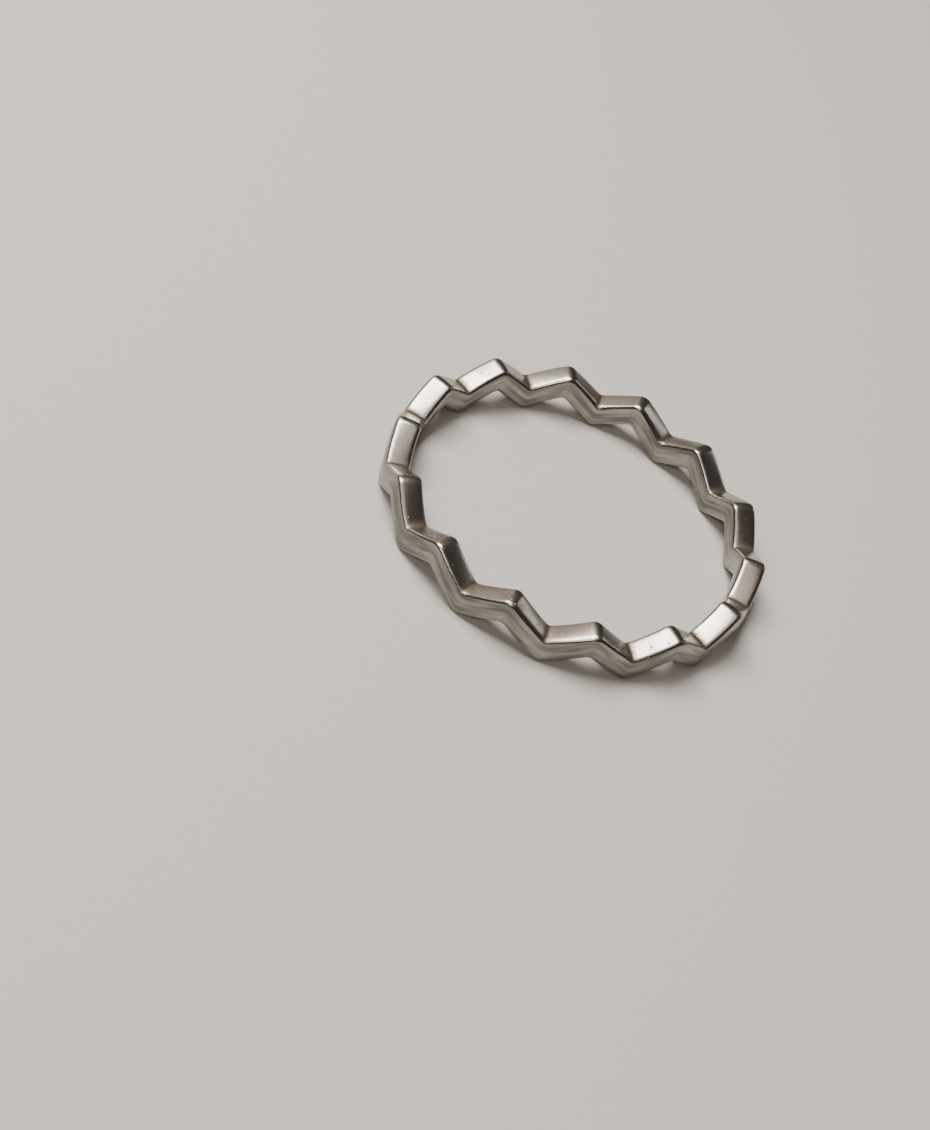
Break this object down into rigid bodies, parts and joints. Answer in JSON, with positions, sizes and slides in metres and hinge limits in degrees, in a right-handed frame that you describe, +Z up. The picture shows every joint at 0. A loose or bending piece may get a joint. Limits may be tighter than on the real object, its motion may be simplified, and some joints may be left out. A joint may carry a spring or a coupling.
{
  "type": "stackable ring",
  "caption": "Plain zigzag finger ring: a square-wire band in polished silver that climbs and falls along the finger, so that matching rings nest together.",
  "frame": {"origin": "middle of the ring, on the surface that it lies on", "axes": "+Z up, along the finger; +X through one of the tips that the ring stands on"},
  "size_m": [0.02, 0.02, 0.0025],
  "materials": {
    "silver": "polished sterling silver, mirror-bright inside and outside and a little softer on the sloped sides, with light tarnish in the creases"
  },
  "bodies": {
    "root": {"zigzag_band": "silver"}
  },
  "joints": []
}
